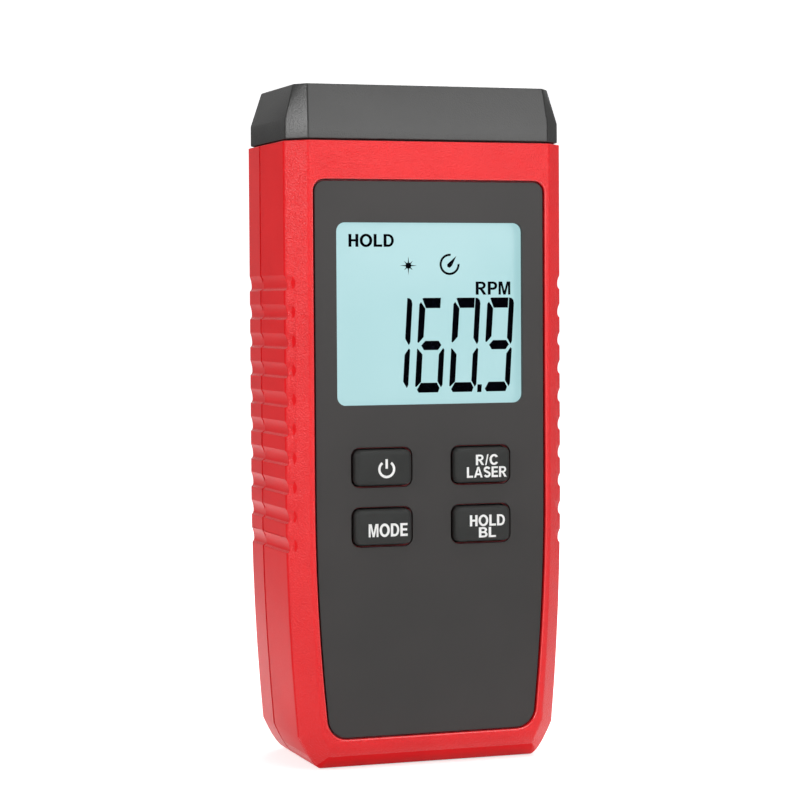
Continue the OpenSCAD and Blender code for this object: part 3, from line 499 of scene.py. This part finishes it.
white_ink, tree, surface = new_finish("white_ink")
tint_between(tree, surface, object_noise(tree, 1500, 3), (0.78, 0.78, 0.77), (0.86, 0.86, 0.85))
gloss_between(tree, surface, object_noise(tree, 2500), 0.42, 0.55)

key_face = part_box("power_key")[0].y
ink = 0.02 * mm
sign_middle = (-10.15, 61.25)
ring = (bow(sign_middle, (1.82, 1.82), 54, -234, 36)
        + bow(sign_middle, (1.32, 1.32), -234, 54, 36))
bar = [(-10.4, 61.35), (-9.9, 61.35), (-9.9, 63.3), (-10.4, 63.3)]
legends = [
    (flat_mark("power_legend", [ring, bar], key_face, ink), "power_button"),
    (word("mode_legend", "MODE", (-14.07, 47.55), (-5.73, 50.2), key_face, ink), "mode_button"),
    (word("count_legend", "R/C", (9.14, 61.55), (13.97, 63.7), key_face, ink), "laser_button"),
    (word("laser_legend", "LASER", (7.16, 59.0), (15.9, 61.2), key_face, ink), "laser_button"),
    (word("hold_legend", "HOLD", (7.77, 49.0), (15.46, 51.3), key_face, ink), "hold_button"),
    (word("light_legend", "BL", (9.73, 46.64), (13.46, 48.75), key_face, ink), "hold_button"),
]
for legend, body in legends:
    coat(legend, white_ink)
    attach(legend, body)


# The optics are a black holder with a brass laser barrel and a receiving lens side by side.
# Both lenses are polished glass, and the photodiode is a bulb of dark epoxy.

coat(nodes["optics_holder"], black_moulding)

turned_brass, tree, surface = new_finish("turned_brass")
surface.inputs["Metallic"].default_value = 1
tint_between(tree, surface, object_noise(tree, 600, 3), (0.56, 0.38, 0.13), (0.66, 0.46, 0.18))
gloss_between(tree, surface, object_noise(tree, 1500), 0.2, 0.34)
coat(nodes["laser_barrel"], turned_brass)

polished_glass, tree, surface = new_finish("polished_glass")
surface.inputs["Base Color"].default_value = (0.80, 0.86, 0.95, 1)
surface.inputs["Transmission Weight"].default_value = 1
surface.inputs["IOR"].default_value = 1.52
gloss_between(tree, surface, object_noise(tree, 400, 3), 0.01, 0.05)
for name in ("laser_lens", "receiver_lens"):
    glass = merged_copy(name, name + "_glass", flatten=False)
    bpy.ops.object.shade_smooth_by_angle(angle=math.radians(40))
    glass.data.materials.append(polished_glass)
    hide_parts(name)
    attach(glass, "housing")

dark_epoxy, tree, surface = new_finish("dark_epoxy")
tint_between(tree, surface, object_noise(tree, 400), (0.006, 0.006, 0.012), (0.012, 0.012, 0.020))
gloss_between(tree, surface, object_noise(tree, 900), 0.06, 0.14)
coat(nodes["photodiode"], dark_epoxy)


# The cells are steel cans in plain blue jackets, with a bare metal nub and foot.
# They lie side by side in the bay behind the battery door.

cell_jacket, tree, surface = new_finish("cell_jacket")
tint_between(tree, surface, object_noise(tree, 300), (0.020, 0.070, 0.200), (0.028, 0.090, 0.240))
gloss_between(tree, surface, object_noise(tree, 1200), 0.22, 0.32)
bare_end = 1.2 * mm
for name in ("left_cell", "middle_cell", "right_cell"):
    low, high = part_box(name)
    coat(nodes[name], cell_jacket)
    nodes[name].data.materials.append(nickel)
    for face in nodes[name].data.polygons:
        from_end = min(face.center.z - low.z, high.z - face.center.z)
        face.material_index = int(from_end < bare_end)


# The back shell is the other half of the red housing, moulded in the same plastic.
# Four screws from the back pull it on to the front shell.

back_face, seam_back = 17 * mm, 7 * mm


def outside_back(p):
    bevel = 2.5 * mm
    side, back = inside_wall(p), back_face - p.y
    edge = (side + back - bevel) / root_two
    return min(side, edge, p.z, shell_top - p.z) < outer_skin


back_shell = merged_copy("back_shell", "back_shell_moulding", flatten=False)
soften_edges(back_shell, 0.04 * mm, lambda p: p.y < seam_back and outside_back(p))
soften_edges(back_shell, 0.12 * mm, lambda p: p.y > seam_back and outside_back(p))
level_faces(back_shell, 0)
back_shell.data.materials.append(red_plastic)
finish_sides(back_shell, red_finish("red_plastic_back_side", 0.26, 0.005 * mm))
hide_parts("back_shell")
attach(back_shell, "housing")


# The battery door is a flat red moulding of the same plastic as the shells.
# Two tabs hinge it at its lower edge, and a sprung tongue with three grip lines latches it.

door_skin = 15.2 * mm
door = merged_copy("battery_door", "battery_door_moulding", flatten=False)
soften_edges(door, 0.15 * mm, lambda p: p.y > door_skin)
level_faces(door, 0)
door.data.materials.append(red_plastic)
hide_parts("battery_door")
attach(door, "door")


# The cap is moulded in dark grey plastic with a shallower grain than the front shell's face.
# Its skirt snaps into the top of the housing, and the beam and its echo pass through its roof.

def grey_finish(name, shine):
    finish, tree, surface = new_finish(name)
    tint_between(tree, surface, object_noise(tree, 60),
                 (0.022, 0.022, 0.021), (0.027, 0.027, 0.026))
    surface.inputs["Specular IOR Level"].default_value = shine
    grain = object_noise(tree, 3200, 1.5)
    gloss_between(tree, surface, grain, 0.31, 0.39)
    grain_bump(tree, surface, grain, 0.8, 0.06 * mm)
    return finish


def outside_cap(p):
    seam, roof = 127.5 * mm, 139 * mm
    core_half, core_depth, core_middle = 26.5 * mm, 13.2 * mm, 0.5 * mm
    past_core = max(abs(p.x) - core_half, abs(p.y - core_middle) - core_depth)
    return p.z > seam and (p.z > roof or past_core > 0)


top_cap = merged_copy("top_cap", "top_cap_moulding")
soften_edges(top_cap, 0.28 * mm, outside_cap)
level_faces(top_cap, 0)
top_cap.data.materials.append(grey_finish("grey_plastic", 0.55))
finish_sides(top_cap, grey_finish("grey_plastic_side", 0.15))
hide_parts("top_cap")
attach(top_cap, "housing")


# The instrument stands on a white sweep of paper that curves up behind it, with a low rim round it.
# The paper looks white all round to the camera. Its mirror image is shaded to either side,
# as grey cards would shade it, so that the flanks of the housing keep their colour.

paper_wide, paper_tall, paper_bend, paper_rim = 6, 4, 1.5, 0.9
back_edge = 2.9
floor_gap, floor_top = 0.03 * mm, 0.1
paper_turn = math.radians(-18.8)
bpy.ops.object.select_all(action="DESELECT")
bpy.ops.mesh.primitive_plane_add(size=paper_wide, location=(0, 0, -floor_gap))
sweep = bpy.context.view_layer.objects.active
sweep.name = "paper_sweep"
bpy.ops.object.mode_set(mode="EDIT")
pick_edges(sweep, lambda edge: all(v.co.y > back_edge for v in edge.verts))
bpy.ops.mesh.extrude_region_move(TRANSFORM_OT_translate={"value": (0, 0, paper_tall)})
pick_edges(sweep, lambda edge: all(v.co.y > back_edge and v.co.z < floor_top for v in edge.verts))
bpy.ops.mesh.bevel(offset=paper_bend, segments=16, affect="EDGES")
pick_edges(sweep, lambda edge: edge.is_boundary and all(v.co.z < paper_rim for v in edge.verts))
bpy.ops.mesh.extrude_region_move(TRANSFORM_OT_translate={"value": (0, 0, paper_rim)})
bpy.ops.mesh.select_mode(type="VERT")
bpy.ops.object.mode_set(mode="OBJECT")
bpy.ops.object.shade_smooth()
sweep.rotation_euler.z = paper_turn
bpy.ops.object.transform_apply(location=True, rotation=True, scale=True)


def reckon(tree, operation, *terms):
    node = tree.nodes.new("ShaderNodeMath")
    node.operation = operation
    for socket, term in zip(node.inputs, terms):
        if isinstance(term, float):
            socket.default_value = term
        else:
            tree.links.new(term, socket)
    return node.outputs["Value"]


white_paper, tree, surface = new_finish("white_paper")
surface.inputs["Base Color"].default_value = (0.9, 0.9, 0.9, 1)
surface.inputs["Roughness"].default_value = 0.9
seen_by = tree.nodes.new("ShaderNodeLightPath").outputs
where = tree.nodes.new("ShaderNodeTexCoord")
away = tree.nodes.new("ShaderNodeVectorMath")
away.operation = "LENGTH"
tree.links.new(where.outputs["Object"], away.inputs[0])
place = tree.nodes.new("ShaderNodeSeparateXYZ")
tree.links.new(where.outputs["Object"], place.inputs["Vector"])
sheet = tree.nodes.new("ShaderNodeSeparateXYZ")
tree.links.new(where.outputs["UV"], sheet.inputs["Vector"])
across, along = sheet.outputs["X"], sheet.outputs["Y"]
sheet_middle, fan_point = 0.5, 0.4133

far = map_range(tree, away.outputs["Value"], (0.1, 0.7), (0.7, 1))
off_middle = reckon(tree, "ABSOLUTE", reckon(tree, "SUBTRACT", across, sheet_middle))
fan = reckon(tree, "DIVIDE", off_middle, reckon(tree, "SUBTRACT", along, fan_point))
shade = map_range(tree, fan, (0.175, 0.23), (1, 0.15))
high = map_range(tree, place.outputs["Z"], (0.7, 1.1))
left_high = reckon(tree, "MULTIPLY", high, reckon(tree, "LESS_THAN", across, sheet_middle))
open_part = reckon(tree, "MAXIMUM", shade, left_high)
mirrored = reckon(tree, "MAXIMUM", seen_by["Is Glossy Ray"], seen_by["Is Transmission Ray"])
mirror_shade = reckon(tree, "MULTIPLY", mirrored, open_part)
seen = reckon(tree, "MAXIMUM", seen_by["Is Camera Ray"], mirror_shade)
lift = reckon(tree, "MULTIPLY", seen, far)
surface.inputs["Emission Color"].default_value = (1, 1, 1, 1)
tree.links.new(lift, surface.inputs["Emission Strength"])
sweep.data.materials.append(white_paper)


# Four soft boxes light it in a dim white room: one in front and to the right for the face,
# a small one on the left for the bevel and the side, one above for the upper edges,
# and one behind for the back.

def soft_box(name, place, aim, size, power):
    lamp = bpy.data.lights.new(name, "AREA")
    lamp.shape = "RECTANGLE"
    lamp.size, lamp.size_y = size
    lamp.energy = power
    stand = bpy.data.objects.new(name, lamp)
    stand.location = place
    stand.rotation_euler = (Vector(aim) - Vector(place)).to_track_quat("-Z", "Y").to_euler()
    bpy.context.scene.collection.objects.link(stand)


middle = (0, 0, 0.07)
soft_box("front_box", (0.125, -0.36, 0.25), middle, (0.34, 0.34), 0.98)
soft_box("left_box", (-0.489, -0.168, 0.258), middle, (0.16, 0.24), 1.25)
soft_box("top_box", (0.08, -0.12, 0.6), middle, (0.25, 0.25), 1.2)
soft_box("back_box", (0.22, 0.42, 0.3), middle, (0.34, 0.34), 0.95)

room = bpy.data.worlds.new("white_room")
room.use_nodes = True
bpy.context.scene.world = room
air = room.node_tree.nodes["Background"]
air.inputs["Color"].default_value = (1, 1, 1, 1)
air.inputs["Strength"].default_value = 0.17


# The camera stands half a metre off, a little to the left of the instrument and above its middle.
# Its lens is long enough that the sides run almost parallel.

lens = bpy.data.cameras.new("camera")
lens.sensor_width = 36
lens.lens = 111.17
lens.shift_x, lens.shift_y = -0.0009, 0.0008
lens.clip_start, lens.clip_end = 0.01, 20
camera = bpy.data.objects.new("camera", lens)
right, up = (0.94649, -0.32267, -0.00592), (0.01863, 0.03632, 0.99917)
back = (-0.32219, -0.94581, 0.04039)
turn = Matrix((right, up, back)).transposed()
camera.matrix_world = Matrix.Translation((-0.16846, -0.49079, 0.09534)) @ turn.to_4x4()
bpy.context.scene.collection.objects.link(camera)
bpy.context.scene.camera = camera
bpy.context.scene.view_settings.view_transform = "Standard"
